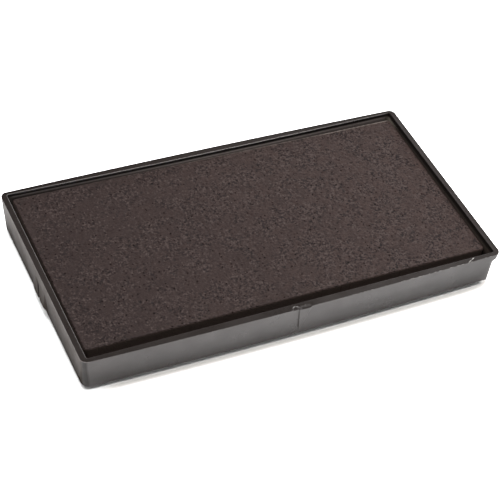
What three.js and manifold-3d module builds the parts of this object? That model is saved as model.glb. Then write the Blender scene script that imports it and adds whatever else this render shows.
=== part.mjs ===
// Ink pad cartridge: a shallow moulded tray, a felt reservoir and a fine-pored foam ink face.
// Millimetres, +Z up. The origin is the centre of the underside, on the surface the tray rests on.
// +X points to the end with the finger lip, and +Y to the back.

import * as THREE from 'three';
import { mergeVertices } from 'three/addons/utils/BufferGeometryUtils.js';
import Module from 'manifold-3d';

// Driving dimensions.
const LENGTH = 84;            // rim, outside, along X
const WIDTH = 44;             // rim, outside, along Y, in the middle of the long walls
const HEIGHT = 8.4;
const SIDE_BOW = 0.4;         // how far the outside of each long wall bulges towards its middle
const CORNER_RADIUS = 1.2;    // upright outside corners
const SIDE_DRAFT = 0.6;       // how far the long walls lean in by the time they reach the base
const END_DRAFT = 0.9;        // the same on the plain end; the wall under the lip is upright
const BASE_FILLET = 1.1;
const RIM_EDGE_RADIUS = 0.2;
const RIM_WIDTH = 1.15;       // flat top of the rim at the plain end
const LIP_RIM_WIDTH = 0.95;   // flat top of the rim at the lip end

const LIP_OVERHANG = 0.75;    // how far the finger lip stands out from the end wall
const LIP_HEIGHT = 1.7;
const LIP_SLOPE = 0.6;        // rise of the lip's underside from the wall to its tip

const FLOOR_THICKNESS = 1.2;
const CAVITY_WIDTH = 41.4;    // its long walls are straight, so the rim is widest in their middle
const CAVITY_DRAFT = 0.25;
const CAVITY_CORNER_RADIUS = 0.4;
const END_WALL = 0.6;         // thickness of the wall under the lip
const FLARE_TOP = 0.5;        // the hollow flares out into the lip between these depths
const FLARE_BOTTOM = 1.7;

const LUG_BOTTOM = 2;         // the latch lug in the middle of the plain end: two halves
const LUG_TOP = 7.4;          // by here the leaning wall has caught up with the lug's face
const LUG_FACE = 0.1;         // the face of the lug, inside the rim's outline
const LUG_ROOT = 1.1;         // how deep the lug reaches into the wall
const LUG_SLOT = 0.5;         // the slot between its halves
const LUG_BACK = 3.2;         // the back half is one long ramp
const LUG_FRONT = 4;          // the front half is blunt, with a short ramp
const LUG_BLUNT = 2.8;

const FIT_GAP = 0.3;          // clearance between the floor, the felt and the foam
const PAD_LENGTH = 80.4;
const PAD_WIDTH = 38.6;
const PAD_CENTRE_Y = 0.75;    // the layers lie towards the back wall
const PAD_SKEW = -0.3;        // degrees about +Z: the layers lie slightly askew
const PAD_RECESS = 0.85;      // ink face below the rim
const PAD_CORNER_RADIUS = 0.7;
const PAD_EDGE_RADIUS = 0.35;
const FOAM_THICKNESS = 2.4;
const FELT_INSET = 0.2;       // the felt is cut this much smaller than the foam on each side

const CORNER_SEGMENTS = 8;
const FILLET_STEPS = 5;
const EDGE_STEPS = 3;
const BOW_STEPS = 16;         // straight pieces in each long side

const wasm = await Module();
wasm.setup();

function toSolid(geometry) {
  const bare = geometry.clone();
  bare.deleteAttribute('normal');
  bare.deleteAttribute('uv');
  const merged = mergeVertices(bare, 1e-5);
  const mesh = new wasm.Mesh({
    numProp: 3,
    vertProperties: new Float32Array(merged.attributes.position.array),
    triVerts: new Uint32Array(merged.index.array),
  });
  return new wasm.Manifold(mesh);
}

function toGeometry(solid) {
  const mesh = solid.getMesh();
  const geometry = new THREE.BufferGeometry();
  geometry.setAttribute('position', new THREE.BufferAttribute(mesh.vertProperties, 3));
  geometry.setIndex(new THREE.BufferAttribute(mesh.triVerts, 1));
  geometry.computeVertexNormals();
  return geometry;
}

function roundedRectangle(x0, x1, y0, y1, radius) {
  const shape = new THREE.Shape();
  const straight = x1 - x0 - 2 * radius;
  shape.moveTo(x0 + radius, y0);
  for (let step = 1; step < BOW_STEPS; step += 1) {
    shape.lineTo(x0 + radius + (straight * step) / BOW_STEPS, y0);
  }
  shape.absarc(x1 - radius, y0 + radius, radius, -Math.PI / 2, 0);
  shape.absarc(x1 - radius, y1 - radius, radius, 0, Math.PI / 2);
  for (let step = 1; step < BOW_STEPS; step += 1) {
    shape.lineTo(x1 - radius - (straight * step) / BOW_STEPS, y1);
  }
  shape.absarc(x0 + radius, y1 - radius, radius, Math.PI / 2, Math.PI);
  shape.absarc(x0 + radius, y0 + radius, radius, Math.PI, 1.5 * Math.PI);
  shape.closePath();
  return shape;
}

// A rounded block whose plan changes with height. Each level gives its z and how far its left
// end, right end and long sides lie inside the full plan. The long sides may bow outwards.
function leveledBlock({ x0, x1, y0, y1, radius, levels, bow = 0 }) {
  const geometry = new THREE.ExtrudeGeometry(roundedRectangle(x0, x1, y0, y1, radius), {
    depth: levels.length - 1,
    steps: levels.length - 1,
    curveSegments: CORNER_SEGMENTS,
    bevelEnabled: false,
  });
  const position = geometry.attributes.position;
  for (let i = 0; i < position.count; i += 1) {
    const level = levels[Math.round(position.getZ(i))];
    const alongX = (position.getX(i) - x0) / (x1 - x0);
    const alongY = (position.getY(i) - y0) / (y1 - y0);
    const sides = level.sides + bow * (2 * alongX - 1) ** 2;
    position.setXYZ(
      i,
      x0 + level.left + alongX * (x1 - x0 - level.left - level.right),
      y0 + sides + alongY * (y1 - y0 - 2 * sides),
      level.z,
    );
  }
  return geometry;
}

// The outside of the tray: rounded base edge, drafted walls, finger lip and softened rim edge.
function trayOutside() {
  const rimShoulder = HEIGHT - RIM_EDGE_RADIUS;
  const lean = (draft, z) => (draft * (rimShoulder - z)) / rimShoulder;
  const leaning = (z) => ({ z, left: lean(END_DRAFT, z), sides: lean(SIDE_DRAFT, z) });
  const levels = [];
  for (let step = 0; step <= FILLET_STEPS; step += 1) {
    const angle = (step / FILLET_STEPS) * (Math.PI / 2);
    const wall = leaning(BASE_FILLET * (1 - Math.cos(angle)));
    const round = BASE_FILLET * (1 - Math.sin(angle));
    levels.push({
      z: wall.z,
      left: wall.left + round,
      right: LIP_OVERHANG + round,
      sides: wall.sides + round,
    });
  }
  const lipBottom = HEIGHT - LIP_HEIGHT;
  levels.push({ ...leaning(lipBottom), right: LIP_OVERHANG });
  levels.push({ ...leaning(lipBottom + LIP_SLOPE), right: 0 });
  for (let step = 0; step <= EDGE_STEPS; step += 1) {
    const angle = (step / EDGE_STEPS) * (Math.PI / 2);
    const inset = RIM_EDGE_RADIUS * (1 - Math.cos(angle));
    const z = rimShoulder + RIM_EDGE_RADIUS * Math.sin(angle);
    levels.push({ z, left: inset, right: inset, sides: inset });
  }
  return leveledBlock({
    x0: -LENGTH / 2,
    x1: LENGTH / 2,
    y0: -WIDTH / 2,
    y1: WIDTH / 2,
    radius: CORNER_RADIUS,
    bow: SIDE_BOW,
    levels,
  });
}

// The hollow of the tray. It tapers towards the floor, and flares out into the lip.
const CAVITY = {
  x0: -LENGTH / 2 + RIM_WIDTH,
  x1: LENGTH / 2 - LIP_RIM_WIDTH,
  y0: -CAVITY_WIDTH / 2,
  y1: CAVITY_WIDTH / 2,
  radius: CAVITY_CORNER_RADIUS,
};
const FLARE = END_WALL + LIP_OVERHANG - LIP_RIM_WIDTH;

function trayHollow() {
  const taper = (depth) => (CAVITY_DRAFT * depth) / (HEIGHT - FLOOR_THICKNESS);
  const level = (depth, right) => ({
    z: HEIGHT - depth,
    left: taper(depth),
    right,
    sides: taper(depth),
  });
  const levels = [
    level(HEIGHT - FLOOR_THICKNESS, FLARE),
    level(FLARE_BOTTOM, FLARE),
    level(FLARE_TOP, 0),
    level(-1, 0),
  ];
  return leveledBlock({ ...CAVITY, levels });
}

// One half of the latch lug. Its plan is a list of [depth inside the rim's outline, y].
function lugHalf(plan) {
  const points = plan.map(([depth, y]) => new THREE.Vector2(depth - LENGTH / 2, y));
  const geometry = new THREE.ExtrudeGeometry(new THREE.Shape(points), {
    depth: LUG_TOP - LUG_BOTTOM,
    bevelEnabled: false,
  });
  return geometry.translate(0, 0, LUG_BOTTOM);
}

function trayGeometry() {
  const lugBack = lugHalf([
    [LUG_ROOT, LUG_BACK],
    [LUG_FACE, LUG_SLOT / 2],
    [LUG_ROOT, LUG_SLOT / 2],
  ]);
  const lugFront = lugHalf([
    [LUG_ROOT, -LUG_SLOT / 2],
    [LUG_FACE, -LUG_SLOT / 2],
    [LUG_FACE, -LUG_BLUNT],
    [LUG_ROOT, -LUG_FRONT],
  ]);
  const outside = toSolid(trayOutside()).add(toSolid(lugBack)).add(toSolid(lugFront));
  return toGeometry(outside.subtract(toSolid(trayHollow())));
}

// The soft layers are cut to one outline. They lie towards the back wall, slightly askew, and
// leave a gap along the front.
const INK_FACE_Z = HEIGHT - PAD_RECESS;
const FOAM_BOTTOM = INK_FACE_Z - FOAM_THICKNESS;

function softLayer(inset, levels) {
  const geometry = leveledBlock({
    x0: -PAD_LENGTH / 2 + inset,
    x1: PAD_LENGTH / 2 - inset,
    y0: -PAD_WIDTH / 2 + inset,
    y1: PAD_WIDTH / 2 - inset,
    radius: PAD_CORNER_RADIUS,
    levels,
  });
  geometry.rotateZ(THREE.MathUtils.degToRad(PAD_SKEW));
  geometry.translate(0, PAD_CENTRE_Y, 0);
  return geometry;
}

function inkFoamGeometry() {
  const levels = [{ z: FOAM_BOTTOM, left: 0, right: 0, sides: 0 }];
  for (let step = 0; step <= EDGE_STEPS; step += 1) {
    const angle = (step / EDGE_STEPS) * (Math.PI / 2);
    const inset = PAD_EDGE_RADIUS * (1 - Math.cos(angle));
    const z = INK_FACE_Z - PAD_EDGE_RADIUS * (1 - Math.sin(angle));
    levels.push({ z, left: inset, right: inset, sides: inset });
  }
  return softLayer(0, levels);
}

function reservoirFeltGeometry() {
  return softLayer(FELT_INSET, [
    { z: FLOOR_THICKNESS + FIT_GAP, left: 0, right: 0, sides: 0 },
    { z: FOAM_BOTTOM - FIT_GAP, left: 0, right: 0, sides: 0 },
  ]);
}

function part(name, geometry, color, roughness) {
  const material = new THREE.MeshStandardMaterial({ color, roughness, metalness: 0 });
  const mesh = new THREE.Mesh(geometry, material);
  mesh.name = name;
  return mesh;
}

const inkPad = new THREE.Group();
inkPad.add(part('tray', trayGeometry(), 0x1f1e1e, 0.35));
inkPad.add(part('reservoir_felt', reservoirFeltGeometry(), 0x2b2523, 0.95));
inkPad.add(part('ink_foam', inkFoamGeometry(), 0x4a3f3c, 0.8));

export default inkPad;
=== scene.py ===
"""Ink pad cartridge: the looks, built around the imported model. Metres, +Z up, origin at the centre of
the underside. +X points to the finger lip, +Y to the back."""

import math

import bpy
import numpy as np
from mathutils import Matrix, Vector


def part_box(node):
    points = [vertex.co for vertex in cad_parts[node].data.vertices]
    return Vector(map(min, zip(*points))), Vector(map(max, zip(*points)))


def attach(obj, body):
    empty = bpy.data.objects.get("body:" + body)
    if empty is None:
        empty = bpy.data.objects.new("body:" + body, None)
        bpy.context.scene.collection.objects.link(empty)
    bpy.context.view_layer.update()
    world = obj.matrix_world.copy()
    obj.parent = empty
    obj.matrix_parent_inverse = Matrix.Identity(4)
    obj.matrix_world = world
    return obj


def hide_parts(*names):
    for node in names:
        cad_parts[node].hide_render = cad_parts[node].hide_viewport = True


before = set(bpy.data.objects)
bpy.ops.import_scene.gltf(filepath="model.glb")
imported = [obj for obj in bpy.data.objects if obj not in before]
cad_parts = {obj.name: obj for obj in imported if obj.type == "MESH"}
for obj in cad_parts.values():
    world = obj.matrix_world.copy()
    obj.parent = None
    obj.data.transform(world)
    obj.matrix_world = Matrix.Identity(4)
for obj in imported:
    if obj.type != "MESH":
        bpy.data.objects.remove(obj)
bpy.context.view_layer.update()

MM = 0.001
BODY = "root"

# ---------------------------------------------------------------- dimensions, in millimetres
_, tray_high = (np.array(corner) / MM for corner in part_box("tray"))
foam_low, foam_high = (np.array(corner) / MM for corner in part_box("ink_foam"))
_, felt_high = (np.array(corner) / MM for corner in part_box("reservoir_felt"))

HALF_LENGTH = tray_high[0]
HALF_WIDTH = tray_high[1]
HEIGHT = tray_high[2]

CORNER_RADIUS = 1.2
FOOT_RADIUS = 0.5           # at the lip end the upright corners get sharper towards the base
PLAIN_SPREAD = 0.55         # and at the plain end they get rounder by this much
SMALLEST_RADIUS = 0.12
SMALLEST_INNER_RADIUS = 0.05
BASE_FILLET = 1.1
SIDE_DRAFT = 0.6
END_DRAFT = 0.9
FRONT_BOW = 0.54            # the outside of each long wall bulges towards its middle
BACK_BOW = 0.36
FRONT_SWELL = 0.06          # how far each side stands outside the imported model's
BACK_SWELL = 0.20
RIGHT_SWELL = 0.20
# along the front and the lip end the wall stops at a crisp edge, with the base sloping in under it
FOOT_EDGE = 0.86
FOOT_DEPTH = 1.8
FOOT_ROUND = 0.14           # rounding of the edge, and how much taller than deep that is
FOOT_STRETCH = 1.5
FOOT_SLOPE_SHARE = 0.6      # this share of the foot's rings makes the slope, the rest its rounded edge
FOOT_FRONT_Y = (-19.2, -20.4)       # the crisp foot takes over between these, along the front,
FOOT_PLAIN_X = (-39.2, -34.0)       # away from the plain end,
FOOT_LIP_X = (39.0, 40.2)           # and round the lip end
FOOT_STEPS = 10
RIM_EDGE = 0.07             # rounding of the rim's outer edge
RIM_INNER_EDGE = 0.12       # and of its inner edge
SHOULDER_STEP = 0.04
LIP_OVERHANG = 0.75
LIP_BOTTOM = HEIGHT - 2.0
LIP_TIP = HEIGHT - 1.4
# the finger lip's underside: heights, and how far the wall is still inside the rim there
LIP_PROFILE = (
    (LIP_BOTTOM - 0.12, 0.75), (LIP_BOTTOM - 0.03, 0.74), (LIP_BOTTOM + 0.03, 0.68),
    (LIP_BOTTOM + 0.15, 0.55), (LIP_BOTTOM + 0.40, 0.25), (LIP_TIP - 0.08, 0.10),
    (LIP_TIP, 0.03), (LIP_TIP + 0.12, 0.0), (LIP_TIP + 0.3, 0.0), (LIP_TIP + 0.6, 0.0))
WALL_START = 1.4            # the plain part of the walls lies between these, with a ring at each step
WALL_STOP = LIP_BOTTOM - 0.15
WALL_STEP = 0.2

INNER_LEFT = -HALF_LENGTH + 1.15
INNER_RIGHT = HALF_LENGTH - 0.95
INNER_FRONT = -20.65
INNER_BACK = 20.8
INNER_BACK_BOW = -0.34      # the back rim narrows towards both ends
INNER_RADIUS = 0.35
INNER_DRAFT = 0.25
HOLLOW_HEIGHTS = (5.5, 4.0, 2.5)
FLARE = 0.4                 # the hollow is this much shorter at the lip end, up to FLARE_LOW
FLARE_LOW = HEIGHT - 1.7
FLARE_HIGH = HEIGHT - 0.6
FLOOR_Z = 1.2
FLOOR_FILLET = 0.4

LUG_BOTTOM = 2.0
LUG_BACK = (2.0, 5.4)       # the lug fades into the wall between these, behind
LUG_FRONT = (-2.2, -3.9)    # and in front
LUG_FADE = 0.5
LUG_PROUD = 0.16            # face of the lug, inside the rim's outline
LUG_LEAN = 0.03             # how much it leans in for each millimetre of height
LUG_SLOT = (-0.1, 0.33)     # the slot between its halves, and how far that leans back per millimetre up
LUG_SLOT_HALF = 0.30
LUG_SLOT_DEPTH = 0.22
LUG_SLOT_EDGE = 0.1
LUG_FOOT = (LUG_BOTTOM - 0.15, LUG_BOTTOM + 0.2)    # it stands out of the wall from here up
OUTER_SKIN = 1.0            # points this close to the plain end are on the outside, not in the hollow

BEAD_HEIGHT = 0.015         # a slight bead along the rim's inner edge
BEAD_WIDTH = 0.24
BEAD_SHARE = 0.6            # it has reached this share of its height halfway up
UNDERCUT_LOW = 7.78         # the groove under it
UNDERCUT_HIGH = 8.14
UNDERCUT_DEPTH = 0.30
UNDERCUT_EDGE = 0.04

GATE_LOW = 1.7              # the gate scar on the front wall: a thin raised wedge that tapers downwards
GATE_LEFT = (-1.10, 0.152)  # its left edge at the top, and how far that leans in per millimetre down
GATE_RIGHT = (1.32, -0.205)
GATE_PROUD = 0.14
GATE_LEFT_RISE = 0.08       # the wedge rises over these lengths at its two edges
GATE_RIGHT_RISE = 0.26
GATE_FOOT_RISE = 1.6
GATE_SKIN = 0.12            # and fades out this deep inside the wall
GATE_SEAM = 0.10            # depth of the fine seam along its left edge
GATE_SEAM_OFFSET = 0.05
GATE_SEAM_HALF = 0.09
GATE_SINK = 0.14            # the rim slopes down to the gate
GATE_SINK_LEFT = (-0.9, -0.4)
GATE_SINK_RIGHT = (0.9, 2.0)
GATE_SINK_DEPTH = 0.75
GATE_RIM = 0.95             # how far in the marks on the rim may reach
MARK_FADE = (0.8, 0.6)      # they fade out from this far below the rim, over this height
NICK_CENTRE = (-1.55, -21.95)
NICK_RADIUS = 0.76
NICK_DEPTH = 0.09
NICK_EDGE = 0.13


# ---------------------------------------------------------------- small helpers
def smooth(low, high, value):
    t = np.clip((value - low) / (high - low), 0.0, 1.0)
    return t * t * (3 - 2 * t)


def mesh_object(name, vertices, faces):
    mesh = bpy.data.meshes.new(name)
    mesh.from_pydata((np.asarray(vertices) * MM).tolist(), [], faces)
    mesh.polygons.foreach_set("use_smooth", [True] * len(mesh.polygons))
    mesh.update()
    piece = bpy.data.objects.new(name, mesh)
    bpy.context.scene.collection.objects.link(piece)
    return piece


def loft(name, rings, cap_first, cap_last):
    """A closed skin through rings that all have the same number of points."""
    count = len(rings[0])
    vertices = np.concatenate(rings)
    faces = []
    for level in range(len(rings) - 1):
        low, high = level * count, (level + 1) * count
        for i in range(count):
            j = (i + 1) % count
            faces.append((low + i, low + j, high + j, high + i))
    if cap_first:
        faces.append(tuple(range(count - 1, -1, -1)))
    if cap_last:
        last = (len(rings) - 1) * count
        faces.append(tuple(range(last, last + count)))
    return mesh_object(name, vertices, faces)


# ---------------------------------------------------------------- tray
COARSE = 0.8
FINE = 0.1
ARC_STEPS = 10
EDGE_STEPS = 5
FILLET_STEPS = 4
BASE_SHARES = (0.5, 0.97)   # size of the rings on the flat underside
FLOOR_SHARES = (0.97, 0.5)  # and of those on the floor, each against the one before
RIM_SHARES = (0.05, 0.15, 0.25, 0.35, 0.45, 0.55, 0.65, 0.75, 0.85, 0.95, 1.0)

# points along the sides, with finer steps at the gate scar, the crease and the lug
along_x = np.arange(-39.2, 39.21, COARSE)
front_x = np.unique(np.round(np.concatenate([
    along_x, np.arange(-3.0, 3.01, FINE / 2), np.arange(33.8, 37.61, FINE)]), 3))
back_x = along_x[::-1]
right_y = np.arange(-19.6, 19.61, COARSE)
left_y = np.unique(np.round(np.concatenate([right_y, np.arange(-4.0, 4.61, FINE)]), 3))[::-1]


def plan(left, right, front, back, radii, front_bow=0.0, back_bow=0.0):
    """The plan of one ring: a rounded rectangle from its four sides. Counter-clockwise."""
    radius, lip_radius = radii

    def front_at(x):
        return front + front_bow * (x / HALF_LENGTH) ** 2

    def back_at(x):
        return back - back_bow * (x / HALF_LENGTH) ** 2

    def arc(cx, cy, start, size):
        angle = np.radians(start) + np.linspace(0, math.pi / 2, ARC_STEPS + 1)
        return np.column_stack([cx + size * np.cos(angle), cy + size * np.sin(angle)])

    inner_left, inner_right = left + radius, right - lip_radius
    return np.concatenate([
        np.column_stack([front_x, front_at(front_x)]),
        arc(inner_right, front_at(inner_right) + lip_radius, -90, lip_radius),
        np.column_stack([np.full(len(right_y), right), right_y]),
        arc(inner_right, back_at(inner_right) - lip_radius, 0, lip_radius),
        np.column_stack([back_x, back_at(back_x)]),
        arc(inner_left, back_at(inner_left) - radius, 90, radius),
        np.column_stack([np.full(len(left_y), left), left_y]),
        arc(inner_left, front_at(inner_left) + radius, 180, radius),
    ])


FRONT_SIDE, BACK_SIDE, PLAIN_SIDE = 0, 4, 6
SIDE = np.concatenate([     # which side or corner each point of a ring is on
    np.full(len(front_x), 0), np.full(ARC_STEPS + 1, 1), np.full(len(right_y), 2),
    np.full(ARC_STEPS + 1, 3), np.full(len(back_x), 4), np.full(ARC_STEPS + 1, 5),
    np.full(len(left_y), 6), np.full(ARC_STEPS + 1, 7)])


def lean(draft, z):
    shoulder = HEIGHT - RIM_EDGE
    return draft * np.clip((shoulder - z) / shoulder, 0, 1)


def outer_ring(z, inset=0.0, overhang=LIP_OVERHANG):
    lip_radius = FOOT_RADIUS + (CORNER_RADIUS - FOOT_RADIUS) * min(z / LIP_BOTTOM, 1.0)
    plain_radius = CORNER_RADIUS + PLAIN_SPREAD * (1 - min(z / LIP_BOTTOM, 1.0))
    radii = max(plain_radius - inset, SMALLEST_RADIUS), max(lip_radius - inset, SMALLEST_RADIUS)
    xy = plan(-HALF_LENGTH + lean(END_DRAFT, z) + inset,
              HALF_LENGTH + RIGHT_SWELL - overhang - inset,
              -HALF_WIDTH - FRONT_SWELL + lean(SIDE_DRAFT, z) + inset,
              HALF_WIDTH + BACK_SWELL - lean(SIDE_DRAFT, z) - inset,
              radii, FRONT_BOW, BACK_BOW)
    return np.column_stack([xy, np.full(len(xy), z)])


def inner_ring(z, inset=0.0, flare=0.0, radius=INNER_RADIUS):
    """A ring of the hollow. inset is towards the middle of the tray."""
    taper = INNER_DRAFT * (HEIGHT - z) / (HEIGHT - FLOOR_Z)
    xy = plan(INNER_LEFT + taper + inset, INNER_RIGHT - flare - inset,
              INNER_FRONT + taper + inset, INNER_BACK - taper - inset,
              (max(radius - inset, SMALLEST_INNER_RADIUS),) * 2, 0.0, INNER_BACK_BOW)
    return np.column_stack([xy, np.full(len(xy), z)])


def foot_ring(share):
    """One ring of the foot: rounded at the plain end and the back, undercut elsewhere."""
    angle = share * math.pi / 2
    rounded = outer_ring(BASE_FILLET * (1 - math.cos(angle)), BASE_FILLET * (1 - math.sin(angle)))
    if share < FOOT_SLOPE_SHARE:
        rise = share / FOOT_SLOPE_SHARE
        crisp = outer_ring(FOOT_EDGE * rise, FOOT_DEPTH - (FOOT_DEPTH - FOOT_ROUND) * rise)
    else:
        rest = (1 - share) / (1 - FOOT_SLOPE_SHARE)
        crisp = outer_ring(FOOT_EDGE + FOOT_ROUND * (1 - rest ** 2) * FOOT_STRETCH,
                           FOOT_ROUND * rest ** 2)
    x, y = rounded[:, 0], rounded[:, 1]
    weight = np.maximum(smooth(*FOOT_FRONT_Y, y) * smooth(*FOOT_PLAIN_X, x), smooth(*FOOT_LIP_X, x))
    weight = weight[:, None]
    return rounded * (1 - weight) + crisp * weight


def quarter_turn(steps):
    return [step / steps * math.pi / 2 for step in range(steps + 1)]


def wall_rings():
    """From the middle of the underside up the walls, and round the finger lip."""
    rings = [foot_ring(0.0) * np.array([share, share, 1.0]) for share in BASE_SHARES]
    rings += [foot_ring(step / FOOT_STEPS) for step in range(FOOT_STEPS + 1)]
    rings += [outer_ring(z) for z in np.arange(WALL_START, WALL_STOP, WALL_STEP)]
    rings += [outer_ring(z, 0.0, overhang) for z, overhang in LIP_PROFILE]
    return rings


def rim_rings():
    """Over the rim: its outer edge, the flat top, the bead and the inner edge."""
    shoulder = HEIGHT - RIM_EDGE
    rings = [outer_ring(shoulder - SHOULDER_STEP, 0.0, 0.0)]
    for angle in quarter_turn(EDGE_STEPS):
        rings.append(outer_ring(shoulder + RIM_EDGE * math.sin(angle),
                                RIM_EDGE * (1 - math.cos(angle)), 0.0))
    outer_edge = rings[-1]
    bead_foot = inner_ring(HEIGHT, -BEAD_WIDTH)
    for share in RIM_SHARES:
        rings.append(outer_edge * (1 - share) + bead_foot * share)
    rings.append(inner_ring(HEIGHT + BEAD_HEIGHT * BEAD_SHARE, -(BEAD_WIDTH + RIM_INNER_EDGE) / 2))
    crest = HEIGHT + BEAD_HEIGHT
    for angle in quarter_turn(EDGE_STEPS):
        rings.append(inner_ring(crest - RIM_INNER_EDGE * (1 - math.cos(angle)),
                                -RIM_INNER_EDGE * (1 - math.sin(angle))))
    return rings


def hollow_rings():
    """Down inside the tray, past the groove along the back, to the middle of its floor."""
    rings = []
    for z, depth in ((UNDERCUT_HIGH + UNDERCUT_EDGE, 0.0), (UNDERCUT_HIGH, UNDERCUT_DEPTH),
                     (UNDERCUT_LOW, UNDERCUT_DEPTH), (UNDERCUT_LOW - UNDERCUT_EDGE, 0.0)):
        ring = inner_ring(z)
        ring[SIDE == BACK_SIDE, 1] += depth
        rings.append(ring)
    rings.append(inner_ring((FLARE_LOW + FLARE_HIGH) / 2, 0.0, FLARE / 2))
    rings.append(inner_ring(FLARE_LOW, 0.0, FLARE))
    for z in HOLLOW_HEIGHTS:
        rings.append(inner_ring(z, 0.0, FLARE))
    for angle in quarter_turn(FILLET_STEPS):
        rings.append(inner_ring(FLOOR_Z + FLOOR_FILLET * (1 - math.sin(angle)),
                                FLOOR_FILLET * (1 - math.cos(angle)), FLARE))
    for share in FLOOR_SHARES:
        rings.append(rings[-1] * np.array([share, share, 1.0]))
    return rings


def shape_lug(ring):
    """The latch lug in the middle of the plain end: a long ramp behind, a blunt half in front."""
    x, y, z = ring[:, 0], ring[:, 1], ring[:, 2]
    rows = (SIDE == PLAIN_SIDE) & (z < LIP_TIP) & (x < -HALF_LENGTH + OUTER_SKIN)
    face = -HALF_LENGTH + LUG_PROUD + LUG_LEAN * (z - LUG_BOTTOM)
    lug = face + LUG_FADE * (smooth(*LUG_BACK, y) + smooth(*LUG_FRONT, y))
    from_slot = np.abs(y - LUG_SLOT[0] - LUG_SLOT[1] * (z - LUG_BOTTOM))
    slot_edge = smooth(LUG_SLOT_HALF - LUG_SLOT_EDGE, LUG_SLOT_HALF + LUG_SLOT_EDGE, from_slot)
    lug = lug + LUG_SLOT_DEPTH * (1 - slot_edge)
    target = np.minimum(x, lug)
    shaped = x + (target - x) * smooth(*LUG_FOOT, z)
    ring[:, 0] = np.where(rows, shaped, x)


def shape_gate(ring):
    """The gate scar: a raised wedge with a seam down the front wall, below a sunken, nicked rim."""
    x, y, z = ring[:, 0], ring[:, 1], ring[:, 2]
    face = -HALF_WIDTH - FRONT_SWELL + lean(SIDE_DRAFT, z) + FRONT_BOW * (x / HALF_LENGTH) ** 2
    inward = y - face
    on_front = (SIDE == FRONT_SIDE) & (inward < GATE_RIM) & (z > BASE_FILLET)
    down = HEIGHT - z
    left = GATE_LEFT[0] + GATE_LEFT[1] * down
    right = GATE_RIGHT[0] + GATE_RIGHT[1] * down
    wedge = smooth(left, left + GATE_LEFT_RISE, x) * (1 - smooth(right, right + GATE_RIGHT_RISE, x))
    seam = np.clip(1 - np.abs(x - left + GATE_SEAM_OFFSET) / GATE_SEAM_HALF, 0, 1)
    rise = smooth(GATE_LOW, GATE_LOW + GATE_FOOT_RISE, z) * np.clip(1 - inward / GATE_SKIN, 0, 1)
    ring[:, 1] = np.where(on_front, y + (GATE_SEAM * seam - GATE_PROUD * wedge) * rise, y)
    sink = GATE_SINK * smooth(*GATE_SINK_LEFT, x) * (1 - smooth(*GATE_SINK_RIGHT, x))
    sink = sink * np.clip(1 - inward / GATE_SINK_DEPTH, 0, 1)
    reach = np.hypot(x - NICK_CENTRE[0], y - NICK_CENTRE[1])
    nick = NICK_DEPTH * (1 - smooth(NICK_RADIUS - NICK_EDGE, NICK_RADIUS, reach))
    near_top = np.clip((z - HEIGHT + MARK_FADE[0]) / MARK_FADE[1], 0, 1)
    ring[:, 2] = np.where(on_front, z - np.maximum(sink, nick) * near_top, z)


def build_tray():
    rings = wall_rings() + rim_rings() + hollow_rings()
    for ring in rings:
        shape_gate(ring)
        shape_lug(ring)
    return loft("tray_shell", rings, True, True)


# ---------------------------------------------------------------- soft layers
PAD_SKEW = math.radians(-0.3)
PAD_CENTRE = np.array([0.0, 0.75])
PAD_LEFT, PAD_RIGHT = -40.12, 40.5
PAD_FRONT, PAD_BACK = -19.22, 19.58
PAD_TOP = foam_high[2]
PAD_EDGE = 0.16
PAD_CORNER = 0.7
PAD_CELL = 0.2
PAD_BOTTOM = (foam_low[2] + felt_high[2]) / 2
SIDE_TOP = 0.05             # the sides have a step this far below the lowest point of the sheet's border
SIDE_FOOT = 0.1             # and this far above the underside
TINY = 1e-9
# waves and mottling of the foam's face: height, cell and seed of each layer
FOAM_WAVES = ((0.05, 9.0, 1), (0.025, 2.2, 2), (0.014, 0.7, 3), (0.012, 0.34, 4))
FOAM_DROP = 0.07
FOAM_FADE = (0.0, 1.2)      # they fade out towards the edge
PIT_SEED = 7
PIT_COUNT = 2600
PIT_HALF_X, PIT_HALF_Y = 40, 19
PIT_RADIUS = (0.12, 0.3)
PIT_DEPTH = (0.04, 0.2)
PIT_CELLS = 3               # a pit reaches this many cells each way
PIT_FADE = (0.2, 0.8)
FELT_INSET = 0.2
FELT_EDGE = 0.3
FELT_CELL = 0.4
FELT_BOTTOM = FLOOR_Z + 0.03
FELT_TOP = PAD_BOTTOM - 0.02
FELT_LUMPS = (0.06, 0.6, 11)        # height, cell and seed
FELT_DROP = 0.08
FELT_FADE = (0.0, 0.6)


def value_noise(x, y, cell, seed):
    """Smooth random bumps on a grid of the given cell, between -1 and 1."""
    random = np.random.default_rng(seed)
    table = random.uniform(-1, 1, (256, 256))
    u, v = x / cell + 500, y / cell + 500
    i, j = np.floor(u).astype(int), np.floor(v).astype(int)
    s, t = u - i, v - j
    s, t = s * s * (3 - 2 * s), t * t * (3 - 2 * t)
    low = table[i % 256, j % 256] * (1 - s) + table[(i + 1) % 256, j % 256] * s
    high = table[i % 256, (j + 1) % 256] * (1 - s) + table[(i + 1) % 256, (j + 1) % 256] * s
    return low * (1 - t) + high * t


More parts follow.
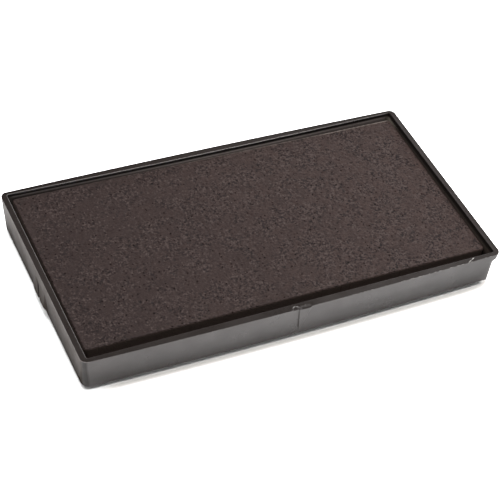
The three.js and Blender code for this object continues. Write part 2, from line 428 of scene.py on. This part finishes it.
def rounded_sheet(bounds, corner, cell):
    """A flat grid pulled in to a rounded outline: x, y and the distance to the outline."""
    left, right, front, back = bounds
    columns = int(round((right - left) / cell))
    rows = int(round((back - front) / cell))
    u, v = np.meshgrid(np.linspace(-1, 1, columns + 1), np.linspace(-1, 1, rows + 1), indexing="ij")
    half_x, half_y = (right - left) / 2, (back - front) / 2
    x, y = u * half_x, v * half_y
    over_x = np.clip(np.abs(x) - (half_x - corner), 0, corner)
    over_y = np.clip(np.abs(y) - (half_y - corner), 0, corner)
    reach = np.hypot(over_x, over_y)
    square = np.maximum(over_x, over_y)
    pull = np.where(reach > TINY, square / np.maximum(reach, TINY), 1.0)
    x = np.sign(x) * (np.abs(x) - over_x + over_x * pull)
    y = np.sign(y) * (np.abs(y) - over_y + over_y * pull)
    gap_x, gap_y = half_x - np.abs(x), half_y - np.abs(y)
    in_corner = (gap_x < corner) & (gap_y < corner)
    gap = np.where(in_corner, corner - np.hypot(corner - gap_x, corner - gap_y),
                   np.minimum(gap_x, gap_y))
    return x, y, np.clip(gap, 0, None)


def edge_drop(gap, edge):
    """How far the rolled edge has dropped at each distance from the outline."""
    drop = edge - np.sqrt(np.clip(edge ** 2 - (edge - gap) ** 2, 0, None))
    return np.where(gap < edge, drop, 0.0)


def layer_object(name, bounds, corner, edge, bottom, top, cell, relief):
    """A soft slab: a dense top sheet with rolled edges, straight sides and a flat underside."""
    left, right, front, back = bounds
    x, y, gap = rounded_sheet(bounds, corner, cell)
    z = top - edge_drop(gap, edge) + relief(x, y, gap)
    grid = np.stack([x + (left + right) / 2, y + (front + back) / 2, z], axis=-1)
    turn = np.array([[math.cos(PAD_SKEW), -math.sin(PAD_SKEW)],
                     [math.sin(PAD_SKEW), math.cos(PAD_SKEW)]])
    grid[..., :2] = grid[..., :2] @ turn.T + PAD_CENTRE
    sheet = grid.reshape(-1, 3)
    index = np.arange(len(sheet)).reshape(grid.shape[:2])
    faces = np.stack([index[:-1, :-1], index[1:, :-1], index[1:, 1:], index[:-1, 1:]], axis=-1)
    faces = faces.reshape(-1, 4).tolist()
    # the sides go down in steps from the border of the sheet
    border = np.concatenate([index[:, 0], index[-1, 1:], index[-2::-1, -1], index[0, -2:0:-1]])
    outline = sheet[border]
    vertices = [sheet]
    start, previous = len(sheet), border
    for level in (outline[:, 2].min() - SIDE_TOP, (bottom + top) / 2, bottom + SIDE_FOOT, bottom):
        ring = outline.copy()
        ring[:, 2] = level
        vertices.append(ring)
        current = np.arange(start, start + len(ring))
        following, before = np.roll(current, -1), np.roll(previous, -1)
        faces += np.column_stack([previous, current, following, before]).tolist()
        start, previous = start + len(ring), current
    faces.append(tuple(int(i) for i in previous[::-1]))
    return mesh_object(name, np.concatenate(vertices), faces)


def foam_relief(x, y, gap):
    """Gentle waves, a soft mottled surface and open pits."""
    random = np.random.default_rng(PIT_SEED)
    height = sum(size * value_noise(x, y, cell, seed) for size, cell, seed in FOAM_WAVES) - FOAM_DROP
    pits = np.zeros_like(x)
    step_x = (x[-1, x.shape[1] // 2] - x[0, x.shape[1] // 2]) / (x.shape[0] - 1)
    step_y = (y[x.shape[0] // 2, -1] - y[x.shape[0] // 2, 0]) / (x.shape[1] - 1)
    for _ in range(PIT_COUNT):
        px = random.uniform(-PIT_HALF_X, PIT_HALF_X)
        py = random.uniform(-PIT_HALF_Y, PIT_HALF_Y)
        radius = random.uniform(*PIT_RADIUS)
        depth = random.uniform(*PIT_DEPTH)
        i0 = int((px - x.min()) / step_x)
        j0 = int((py - y.min()) / step_y)
        i = slice(max(i0 - PIT_CELLS, 0), i0 + PIT_CELLS + 1)
        j = slice(max(j0 - PIT_CELLS, 0), j0 + PIT_CELLS + 1)
        distance = np.hypot(x[i, j] - px, y[i, j] - py) / radius
        pits[i, j] = np.maximum(pits[i, j], depth * np.exp(-distance ** 2))
    return height * smooth(*FOAM_FADE, gap) - pits * smooth(*PIT_FADE, gap)


def felt_relief(x, y, gap):
    size, cell, seed = FELT_LUMPS
    return size * value_noise(x, y, cell, seed) * smooth(*FELT_FADE, gap) - FELT_DROP


def build_foam():
    return layer_object("ink_foam_pad", (PAD_LEFT, PAD_RIGHT, PAD_FRONT, PAD_BACK), PAD_CORNER,
                        PAD_EDGE, PAD_BOTTOM, PAD_TOP, PAD_CELL, foam_relief)


def build_felt():
    bounds = (PAD_LEFT + FELT_INSET, PAD_RIGHT - FELT_INSET,
              PAD_FRONT + FELT_INSET, PAD_BACK - FELT_INSET)
    return layer_object("reservoir_felt_pad", bounds, PAD_CORNER, FELT_EDGE, FELT_BOTTOM, FELT_TOP,
                        FELT_CELL, felt_relief)


# ---------------------------------------------------------------- materials
class Term:
    """A number worked out in the shader, to be added, subtracted and multiplied like any other."""

    def __init__(self, nodes, socket):
        self.nodes = nodes
        self.socket = socket

    def __add__(self, other):
        return self.nodes.math("ADD", self, other)

    def __sub__(self, other):
        return self.nodes.math("SUBTRACT", self, other)

    def __rsub__(self, other):
        return self.nodes.math("SUBTRACT", other, self)

    def __mul__(self, other):
        return self.nodes.math("MULTIPLY", self, other)

    def __abs__(self):
        return self.nodes.math("ABSOLUTE", self)


class Nodes:
    """Short names for making the nodes of one material."""

    def __init__(self, name):
        self.material = bpy.data.materials.new(name)
        self.material.use_nodes = True
        self.tree = self.material.node_tree
        self.shader = self.tree.nodes["Principled BSDF"]
        self.place = self.add("ShaderNodeTexCoord").outputs["Object"]
        self.x, self.y, self.z = self.parts(self.place)

    def connect(self, socket, value):
        if isinstance(value, Term):
            value = value.socket
        if isinstance(value, bpy.types.NodeSocket):
            self.tree.links.new(value, socket)
        else:
            socket.default_value = value

    def add(self, kind, inputs=None, **settings):
        node = self.tree.nodes.new(kind)
        for key, value in settings.items():
            setattr(node, key, value)
        for key, value in (inputs or {}).items():
            self.connect(node.inputs[key], value)
        return node

    def parts(self, vector):
        node = self.add("ShaderNodeSeparateXYZ", {"Vector": vector})
        return [Term(self, node.outputs[axis]) for axis in "XYZ"]

    def facing(self):
        """The direction of the surface itself, before any bump."""
        return self.parts(self.add("ShaderNodeNewGeometry").outputs["True Normal"])

    def math(self, operation, a, b=0.0):
        return Term(self, self.add("ShaderNodeMath", {0: a, 1: b}, operation=operation).outputs[0])

    def noise(self, scale, detail=2.0, roughness=0.5, vector=None):
        node = self.add("ShaderNodeTexNoise", {"Vector": self.place if vector is None else vector,
                                               "Scale": scale, "Detail": detail,
                                               "Roughness": roughness})
        return Term(self, node.outputs["Fac"])

    def spread(self, value, span, share=(0.0, 1.0)):
        """Carry value from the ends of span to those of share, softly, and hold it beyond them."""
        node = self.add("ShaderNodeMapRange", {"Value": value, "From Min": span[0], "From Max": span[1],
                                               "To Min": share[0], "To Max": share[1]},
                        interpolation_type="SMOOTHSTEP")
        return Term(self, node.outputs[0])

    def zone(self, coordinate, span, share=(0.0, 1.0)):
        """The same for a coordinate or a distance, with span in millimetres."""
        return self.spread(coordinate, (span[0] * MM, span[1] * MM), share)

    def mix(self, factor, a, b):
        return self.add("ShaderNodeMix", {0: factor, 6: a, 7: b}, data_type="RGBA").outputs[2]

    def bump(self, height, strength, distance, normal=None):
        inputs = {"Height": height, "Strength": strength, "Distance": distance * MM}
        if normal is not None:
            inputs["Normal"] = normal
        return self.add("ShaderNodeBump", inputs).outputs["Normal"]

    def finish(self, **sockets):
        for name, value in sockets.items():
            self.connect(self.shader.inputs[name.replace("_", " ")], value)
        return self.material


# Colours, as linear red, green and blue.
TRAY_BLACK = (0.0064, 0.0050, 0.0045, 1)
TRAY_BLACK_LIGHTER = (0.0079, 0.0062, 0.0056, 1)
TRAY_SMUDGE = (0.022, 0.019, 0.018, 1)
# painted reflection on the plain end wall
PLAIN_END_PAINTED_SHEEN = (0.0170, 0.0108, 0.0074, 1)
WALL_SHEEN = (1.0, 0.905, 0.885, 1)
RIM_SHEEN = (1.0, 0.945, 0.935, 1)
# painted light: a pale strip inside the back wall
BACK_STRIP_PAINTED_LIGHT = (0.115, 0.098, 0.090, 1)
# lighter inside of the wall under the lip, lower down
LIP_WALL_LOW_TONE = (0.016, 0.0125, 0.0105, 1)
# painted light in the corner of the gap under the lip
LIP_CORNER_PAINTED_LIGHT = (0.056, 0.049, 0.040, 1)
CREASE_WHITE = (0.24, 0.23, 0.22, 1)
# painted highlight along the front rim's outer edge
RIM_EDGE_HIGHLIGHT_GREY = (0.12, 0.115, 0.11, 1)

# Marks on the tray. A span is in millimetres, along the axis it names, and a share is how much of
# the mark there is at its two ends.
HOLLOW_Z = (7.7, 7.3)
BACK_STRIP_Y = (20.0, 20.5)               # inside of the back wall
BACK_STRIP_STOP_Y = (21.35, 21.25)
BACK_STRIP_X = (-40.0, 6.0)
BACK_STRIP_SHARE = (0.22, 1.0)
BACK_STRIP_DIM_X = (12.0, 30.0)
BACK_STRIP_DIM_SHARE = (1.0, 0.7)
LIP_WALL_X = (40.2, 40.5)           # inside of the wall under the lip
LIP_CORNER_Y = (16.5, 19.5)
CREASE_CENTRE = (34.6, -21.8)
CREASE_ACROSS = (0.46, 0.888)       # the direction across the crease
CREASE_WOBBLE = 0.18
CREASE_WIDTH = (0.02, 0.08)
CREASE_Y = (-20.6, -20.9)
CREASE_Z = (8.18, 8.30)
CREASE_X = (33.0, 34.0)
CREASE_SHARE = 0.9
RIM_HIGHLIGHT_Z = (8.28, 8.34)
RIM_HIGHLIGHT_TOP_Z = (8.398, 8.392)
RIM_HIGHLIGHT_Y = (-21.1, -21.3)
RIM_HIGHLIGHT_X = (4.0, 20.0)
RIM_HIGHLIGHT_SHARE = (0.15, 0.8)


def tray_tone(n, smudge):
    """Black plastic with its crease and a lighter lower wall under the lip, and painted light: a pale
    strip inside the back wall, the corner under the lip and a dotted highlight along the front rim's
    edge.
    """
    tone = n.mix(n.spread(n.noise(60, 3), (0.35, 0.65)), TRAY_BLACK, TRAY_BLACK_LIGHTER)
    tone = n.mix(n.spread(smudge, (0.62, 0.80), (0.0, 0.20)), tone, TRAY_SMUDGE)
    # painted light: a pale strip on the inside of the back wall lifts the shade of the gap behind the
    # foam
    back_strip_light = n.zone(n.y, BACK_STRIP_Y) * n.zone(n.z, HOLLOW_Z) * n.zone(n.y, BACK_STRIP_STOP_Y)
    back_strip_light = back_strip_light * n.zone(n.x, BACK_STRIP_X, BACK_STRIP_SHARE) * n.zone(n.x, BACK_STRIP_DIM_X, BACK_STRIP_DIM_SHARE)
    tone = n.mix(back_strip_light, tone, BACK_STRIP_PAINTED_LIGHT)
    # round the corner at the lip end, the inside of the wall under the lip is lighter from HOLLOW_Z down
    lip_wall_low = n.zone(n.x, LIP_WALL_X) * n.zone(n.z, HOLLOW_Z)
    tone = n.mix(lip_wall_low, tone, LIP_WALL_LOW_TONE)
    # painted light: lighter still in the back corner of the gap under the lip, lifting its shade
    tone = n.mix(lip_wall_low * n.zone(n.y, LIP_CORNER_Y), tone, LIP_CORNER_PAINTED_LIGHT)
    # the whitened crease across the front rim
    across = ((n.x - CREASE_CENTRE[0] * MM) * CREASE_ACROSS[0]
              - (n.y - CREASE_CENTRE[1] * MM) * CREASE_ACROSS[1])
    distance = abs(across + (n.noise(1400) - 0.5) * (CREASE_WOBBLE * MM))
    crease = n.zone(distance, CREASE_WIDTH, (1.0, 0.0)) * n.zone(n.y, CREASE_Y)
    crease = crease * n.zone(n.z, CREASE_Z) * n.zone(n.x, CREASE_X)
    crease = crease * n.spread(n.noise(2600), (0.42, 0.60), (0.12, 1.0))
    tone = n.mix(crease * CREASE_SHARE, tone, CREASE_WHITE)
    # painted highlight: a dotted light line along the outer edge of the front rim
    rim_edge_highlight = n.zone(n.z, RIM_HIGHLIGHT_Z) * n.zone(n.y, RIM_HIGHLIGHT_Y) * n.spread(n.noise(1900), (0.50, 0.60))
    rim_edge_highlight = rim_edge_highlight * n.zone(n.x, RIM_HIGHLIGHT_X, RIM_HIGHLIGHT_SHARE) * n.zone(n.z, RIM_HIGHLIGHT_TOP_Z)
    return n.mix(rim_edge_highlight, tone, RIM_EDGE_HIGHLIGHT_GREY)


# Gloss of the tray: each span is a stretch of height or length in millimetres, or of the surface's
# direction, and the share after it is the specular level, or the part of it that is left.
WALL_Z, WALL_LEVEL = (1.4, 7.8), (0.205, 0.275)
WALL_FOOT_Z, WALL_FOOT_SHARE = (3.0, 0.8), (1.0, 1.42)
STREAK_LOW_Z, STREAK_HIGH_Z = (3.0, 4.3), (6.0, 4.7)
STREAK_X, STREAK_SHARE = (-4.0, 14.0), (0.2, 1.0)
STREAK_END_X, STREAK_DEPTH = (24.0, 36.0), (0.13, 0.0)
CLOUD_SHARE = (0.95, 1.05)
MIDDLE_LEFT_X, MIDDLE_RIGHT_X = (-30.0, -14.0), (14.0, 4.0)
MIDDLE_Z, MIDDLE_EXTRA = (7.0, 3.0), (0.09, 0.17)
PLAIN_HALF_X = (-30.0, -36.0)
CORNER_TURN, CORNER_LOSS = (-0.08, -0.40), (0.0, 0.6)
PLAIN_TURN = (-0.75, -0.97)
PLAIN_Z, PLAIN_LEVEL = (1.2, 8.3), (0.025, 0.168)
PLAIN_Y, PLAIN_Y_SHARE = (4.0, 18.0), (1.0, 1.2)
PLAIN_TOP_Z, PLAIN_TOP_SHARE = (6.0, 8.0), (1.0, 1.15)
# the next pair sets how much painted reflection colour the plain end wall gets, by height
PLAIN_SHEEN_Z, PLAIN_SHEEN_SHARE = (1.0, 7.0), (0.5, 1.0)
PLAIN_EXTRA_ROUGHNESS = 0.28
SLOT_WIDTH = (0.42, 0.22)
SLOT_X, SLOT_Z = (-40.5, -40.8), (6.4, 5.0)
SLOT_LOSS = 0.85
LIP_HALF_X, LIP_HALF_SHARE = (26.0, 42.0), (1.0, 0.55)
RIM_X, RIM_LEVEL = (-40.0, 30.0), (0.060, 0.098)
RIM_BACK_Y, RIM_BACK_SHARE = (19.0, 21.0), (1.0, 0.34)
SCAR_LEFT_X, SCAR_RIGHT_X = (-1.2, -0.8), (2.4, 1.8)
SCAR_Y, SCAR_LOSS = (-21.1, -21.2), 0.6
RIM_TURN = (0.60, 0.88)
POLISH_SLOPE = 1.9                  # the polished part lies beyond a diagonal with this slope
POLISH_EDGE, POLISH_LEVEL = (-1.0, 1.0), (0.06, 0.84)
POLISH_Z = (8.28, 8.30)
POLISH_TURN, POLISH_TURN_SHARE = (0.96, 0.995), (1.0, 0.0)
POLISH_X, POLISH_SHARE = (8.0, 40.0), (1.0, 0.5)
POLISH_END_X = (-15.0, -36.0)
POLISH_END_Y, POLISH_END_LOSS = (19.5, 20.5), (0.0, 0.4)


def tray_gloss(n, beside, sideways, upward, plain_half):
    """Specular level: the walls get glossier towards the top, the ends and the flat rim are duller."""
    gloss = n.zone(n.z, WALL_Z, WALL_LEVEL) * n.zone(n.z, WALL_FOOT_Z, WALL_FOOT_SHARE)
    # faint streaks and cloudy patches
    streak = n.zone(n.z, STREAK_LOW_Z) * n.zone(n.z, STREAK_HIGH_Z)
    streak = streak * n.zone(n.x, STREAK_X, STREAK_SHARE) * n.zone(n.x, STREAK_END_X, STREAK_DEPTH)
    gloss = gloss * (1.0 - streak) * n.spread(n.noise(190), (0.35, 0.65), CLOUD_SHARE)
    middle = n.zone(n.x, MIDDLE_LEFT_X) * n.zone(n.x, MIDDLE_RIGHT_X)
    gloss = gloss * (middle * n.zone(n.z, MIDDLE_Z, MIDDLE_EXTRA) + 1.0)
    # the rounded corner at the plain end, and the end wall itself
    gloss = gloss * (1.0 - n.spread(sideways, CORNER_TURN, CORNER_LOSS) * plain_half)
    plain_end = n.zone(n.z, PLAIN_Z, PLAIN_LEVEL) * n.zone(n.y, PLAIN_Y, PLAIN_Y_SHARE)
    plain_end = plain_end * n.zone(n.z, PLAIN_TOP_Z, PLAIN_TOP_SHARE)
    gloss = n.spread(beside, (0.0, 1.0), (gloss, plain_end))
    # the slot in the lug stays dark
    slot = (n.y - LUG_SLOT[0] * MM) - (n.z - LUG_BOTTOM * MM) * LUG_SLOT[1]
    slot = n.zone(abs(slot), SLOT_WIDTH) * (n.zone(n.x, SLOT_X) * n.zone(n.z, SLOT_Z))
    gloss = gloss * (1.0 - slot * SLOT_LOSS)
    # the rim, and the gate scar in it
    lip_half = n.zone(n.x, LIP_HALF_X, LIP_HALF_SHARE)
    rim = n.zone(n.x, RIM_X, RIM_LEVEL) * lip_half * n.zone(n.y, RIM_BACK_Y, RIM_BACK_SHARE)
    scar = n.zone(n.x, SCAR_LEFT_X) * n.zone(n.x, SCAR_RIGHT_X) * n.zone(n.y, SCAR_Y)
    gloss = n.spread(upward, RIM_TURN, (gloss * lip_half, rim * (1.0 - scar * SCAR_LOSS)))
    # the rim's inner edge is polished along the back and the plain end
    polish = n.zone(n.y * POLISH_SLOPE - n.x, POLISH_EDGE, POLISH_LEVEL) * n.zone(n.z, POLISH_Z)
    polish = polish * n.spread(upward, POLISH_TURN, POLISH_TURN_SHARE)
    polish = polish * n.zone(n.x, POLISH_X, POLISH_SHARE)
    far_end = n.zone(n.x, POLISH_END_X) * n.zone(n.y, POLISH_END_Y, POLISH_END_LOSS)
    return gloss + polish * (1.0 - far_end)


def plastic_material():
    n = Nodes("tray_plastic")
    sideways, _, upward = n.facing()
    plain_half = n.zone(n.x, PLAIN_HALF_X)
    beside = n.spread(sideways, PLAIN_TURN) * plain_half
    grain = n.noise(5200, 2, 0.6)
    smudge = n.noise(260, 4, 0.65)
    # painted reflection: the plain end wall gets a lighter, warm colour, stronger higher up, that stands
    # in for part of its sheen
    plain_end_sheen = beside * n.zone(n.z, PLAIN_SHEEN_Z, PLAIN_SHEEN_SHARE)
    tone = n.mix(plain_end_sheen, tray_tone(n, smudge), PLAIN_END_PAINTED_SHEEN)
    rough = n.spread(smudge, (0.3, 0.75), (0.27, 0.38)) + (grain - 0.5) * 0.08
    rough = rough + beside * PLAIN_EXTRA_ROUGHNESS
    normal = n.bump(grain, 0.12, 0.03)
    normal = n.bump(n.noise(900, 3), 0.12, 0.06, normal)
    return n.finish(Base_Color=tone, Roughness=rough, Normal=normal, IOR=1.5,
                    Specular_IOR_Level=tray_gloss(n, beside, sideways, upward, plain_half),
                    Specular_Tint=n.mix(n.spread(upward, RIM_TURN), WALL_SHEEN, RIM_SHEEN))


# the foam's tone runs between the next two, by uneven soaking and by painted light that lightens it
# towards the lip end
FOAM_WET_AND_SHADED = (0.0066, 0.0037, 0.0033, 1)
FOAM_THIN_AND_LIT = (0.0158, 0.0093, 0.0078, 1)
FOAM_MOTTLE = (0.0062, 0.0035, 0.0032, 1)
FOAM_LIGHT = (0.0208, 0.0147, 0.0134, 1)
FOAM_DARK = (0.0020, 0.0008, 0.0007, 1)
# painted shade in the foam's deep pits
FOAM_PIT_SHADE = (0.0010, 0.0005, 0.0004, 1)
FOAM_DRY_SPOT = (0.031, 0.0225, 0.0205, 1)
# painted highlight along the foam's back edge
FOAM_HEM_HIGHLIGHT = (0.070, 0.059, 0.052, 1)
# painted light on the foam's cut sides
FOAM_SIDE_PAINTED_LIGHT = (0.046, 0.034, 0.0285, 1)
PAINTED_LIGHT_PER_METRE = 9.0                 # painted light: the foam gets lighter towards the lip end
PORE_SHARE, CLUMP_SHARE = 0.72, 0.28
CONTRAST_X, CONTRAST_SHARE = (-40.0, 40.0), (0.76, 1.22)
HEM_SKEW = 0.0052                   # the hem runs as askew as the sheet
HEM_Y = (19.90, 20.15)
HEM_MIDDLE_X, HEM_MIDDLE_SHARE = (-12.0, 10.0), (0.10, 0.45)
HEM_LIP_X, HEM_LIP_SHARE = (22.0, 27.0), (0.0, 0.55)
FOAM_SPECULAR = 0.06


def foam_tone(n, pore, clump):
    """Foam unevenly soaked with ink, with light and dark specks, and painted light that lightens it
    towards the lip end.
    """
    # random uneven soaking, plus painted light along x that lightens the foam towards the lip end
    soak_and_painted_light = n.noise(90, 3) * 0.4 + (n.x * PAINTED_LIGHT_PER_METRE + 0.3)
    tone = n.mix(soak_and_painted_light, FOAM_WET_AND_SHADED, FOAM_THIN_AND_LIT)
    tone = n.mix(n.spread(n.noise(420, 3, 0.6), (0.35, 0.7), (0.0, 0.35)), tone, FOAM_MOTTLE)
    contrast = n.spread(n.noise(330), (0.40, 0.60), (0.70, 1.75))
    contrast = contrast * n.zone(n.x, CONTRAST_X, CONTRAST_SHARE)
    speck = (pore * PORE_SHARE + clump * CLUMP_SHARE - 0.5) * contrast + 0.5
    tone = n.mix(n.spread(speck, (0.50, 0.68)), tone, FOAM_LIGHT)
    return n.mix(n.spread(speck, (0.49, 0.36)), tone, FOAM_DARK)


def foam_material():
    n = Nodes("inked_foam")
    pore = n.noise(2900, 3, 0.7)
    clump = n.noise(1500, 1, 0.5)
    tone = foam_tone(n, pore, clump)
    # a few deep pits, painted near-black as painted shade, and a few dry spots, each drawn by lot
    spots = n.add("ShaderNodeTexVoronoi", {"Vector": n.place, "Scale": 1050, "Randomness": 1.0},
                  voronoi_dimensions="2D")
    lot, _, _ = n.parts(spots.outputs["Color"])
    dot = n.spread(spots.outputs["Distance"], (0.23, 0.09))
    pit_shade = dot * n.spread(lot, (0.62, 0.99), (0.0, 0.85))
    tone = n.mix(pit_shade, tone, FOAM_PIT_SHADE)
    tone = n.mix(dot * n.spread(lot, (0.20, 0.08), (0.0, 0.5)), tone, FOAM_DRY_SPOT)
    # painted highlight along the foam's back edge, the hem
    hem_highlight = n.zone(n.y + n.x * HEM_SKEW, HEM_Y) * n.spread(clump, (0.35, 0.6), (0.5, 1.0))
    hem_highlight = hem_highlight * (n.zone(n.x, HEM_MIDDLE_X, HEM_MIDDLE_SHARE) + n.zone(n.x, HEM_LIP_X, HEM_LIP_SHARE))
    tone = n.mix(hem_highlight, tone, FOAM_HEM_HIGHLIGHT)
    # painted light: the cut sides, picked out by their facing, get a lighter colour of their own that
    # lifts the shade in the gaps around the foam
    _, _, upward = n.facing()
    tone = n.mix(n.spread(upward, (0.25, 0.65)), FOAM_SIDE_PAINTED_LIGHT, tone)
    cells = n.add("ShaderNodeTexVoronoi", {"Vector": n.place, "Scale": 3600, "Randomness": 1.0})
    height = n.math("MULTIPLY", cells.outputs["Distance"], 0.7) + pore
    return n.finish(Base_Color=tone, Roughness=0.65, Normal=n.bump(height, 0.45, 0.12),
                    Specular_IOR_Level=n.spread(pit_shade, (0.1, 0.8), (FOAM_SPECULAR, 0.0)))


FELT_DARK = (0.010, 0.008, 0.0075, 1)
FELT_LIGHT = (0.030, 0.025, 0.023, 1)
FELT_CLUMP = (0.016, 0.012, 0.011, 1)


def felt_material():
    n = Nodes("reservoir_felt")
    flattened = n.add("ShaderNodeMapping", {"Vector": n.place, "Scale": (1.0, 1.0, 2.5)}).outputs[0]
    fibre = n.noise(3000, 4, 0.7, flattened)
    tone = n.mix(n.spread(fibre, (0.35, 0.7)), FELT_DARK, FELT_LIGHT)
    tone = n.mix(n.spread(n.noise(500, 3), (0.4, 0.7), (0.0, 0.4)), tone, FELT_CLUMP)
    return n.finish(Base_Color=tone, Roughness=0.9, Normal=n.bump(fibre, 0.7, 0.2))


FLOOR_DULLER = (0.84, 0.84, 0.84, 1)
FLOOR_BRIGHTER = (0.86, 0.86, 0.86, 1)
FLOOR_SHADOW = (0.34, 0.323, 0.305, 1)
CONTACT_REACH = 2.2                 # the floor darkens this close to the front of the tray
CONTACT_Y = (-19.0, -20.5)
CONTACT_X = (-41.0, -34.0)


def floor_material():
    n = Nodes("floor_paper")
    tone = n.mix(n.noise(4), FLOOR_DULLER, FLOOR_BRIGHTER)
    nearby = n.add("ShaderNodeAmbientOcclusion", {"Distance": CONTACT_REACH * MM}, samples=12)
    openness = nearby.outputs["AO"]
    shade = n.spread(openness, (0.97, 0.64)) * n.spread(openness, (0.34, 0.56), (0.22, 1.0))
    shade = shade * (n.zone(n.y, CONTACT_Y) * n.zone(n.x, CONTACT_X))
    return n.finish(Base_Color=n.mix(shade, tone, FLOOR_SHADOW), Roughness=0.9)


def dress(piece, material, node):
    piece.data.materials.append(material)
    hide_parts(node)
    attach(piece, BODY)


# ---------------------------------------------------------------- the object
tray = build_tray()
dress(tray, plastic_material(), "tray")

foam = build_foam()
dress(foam, foam_material(), "ink_foam")

felt = build_felt()
dress(felt, felt_material(), "reservoir_felt")

# ---------------------------------------------------------------- floor, light and camera
FLOOR_HALF = 2.0
FLOOR_DROP = 0.00002
floor_mesh = bpy.data.meshes.new("floor")
floor_mesh.from_pydata([(-FLOOR_HALF, -FLOOR_HALF, -FLOOR_DROP), (FLOOR_HALF, -FLOOR_HALF, -FLOOR_DROP),
                        (FLOOR_HALF, FLOOR_HALF, -FLOOR_DROP), (-FLOOR_HALF, FLOOR_HALF, -FLOOR_DROP)],
                       [], [(0, 1, 2, 3)])
floor = bpy.data.objects.new("floor", floor_mesh)
bpy.context.scene.collection.objects.link(floor)
floor_mesh.materials.append(floor_material())


WORLD_STRENGTH = 0.06
BOX_DISTANCE = 1.2
BOX_SIZE = 0.7


def make_world():
    """A dim, even surround; the soft boxes do the rest."""
    world = bpy.data.worlds.new("studio")
    bpy.context.scene.world = world
    world.use_nodes = True
    background = world.node_tree.nodes["Background"]
    background.inputs["Color"].default_value = (1.0, 0.98, 0.96, 1.0)
    background.inputs["Strength"].default_value = WORLD_STRENGTH


def soft_light(name, azimuth, elevation, distance, size, power):
    """A square soft box that looks at the object. Azimuth turns from +Y towards +X."""
    data = bpy.data.lights.new(name, "AREA")
    data.size = size
    data.energy = power
    light = bpy.data.objects.new(name, data)
    a, e = math.radians(azimuth), math.radians(elevation)
    direction = Vector((math.sin(a) * math.cos(e), math.cos(a) * math.cos(e), math.sin(e)))
    light.location = distance * direction
    light.rotation_euler = light.location.to_track_quat("Z", "Y").to_euler()
    bpy.context.scene.collection.objects.link(light)


make_world()
soft_light("overhead", 0, 88, BOX_DISTANCE, BOX_SIZE, 28.4)
soft_light("right", 90, 50, BOX_DISTANCE, BOX_SIZE, 29.0)
soft_light("back_left", 325, 55, BOX_DISTANCE, BOX_SIZE, 10.0)
soft_light("back_right", 45, 22, BOX_DISTANCE, BOX_SIZE, 9.0)
soft_light("left", 270, 50, BOX_DISTANCE, BOX_SIZE, 4.0)
soft_light("front", 180, 22, BOX_DISTANCE, BOX_SIZE, 4.6)

CAMERA_TARGET = Vector((-1.10, -2.34, 4.20)) * MM
CAMERA_HEADING = 32.185     # degrees from +Y towards +X
CAMERA_ELEVATION = 44.840
CAMERA_ROLL = 10.219
CAMERA_DISTANCE = 285.11 * MM
CAMERA_LENS = 109.395

heading, tilt = math.radians(CAMERA_HEADING), math.radians(CAMERA_ELEVATION)
forward = Vector((math.sin(heading) * math.cos(tilt), math.cos(heading) * math.cos(tilt),
                  -math.sin(tilt)))
level = forward.cross(Vector((0, 0, 1))).normalized()
above = level.cross(forward)
roll = math.radians(CAMERA_ROLL)
right = math.cos(roll) * level + math.sin(roll) * above
up = math.cos(roll) * above - math.sin(roll) * level
camera_data = bpy.data.cameras.new("camera")
camera_data.lens = CAMERA_LENS
camera_data.sensor_width = 36.0
camera_data.clip_start = 0.01
camera = bpy.data.objects.new("camera", camera_data)
bpy.context.scene.collection.objects.link(camera)
axes = Matrix((right, up, -forward)).transposed().to_4x4()
camera.matrix_world = Matrix.Translation(CAMERA_TARGET - CAMERA_DISTANCE * forward) @ axes
bpy.context.scene.camera = camera
bpy.context.scene.view_settings.view_transform = "Standard"
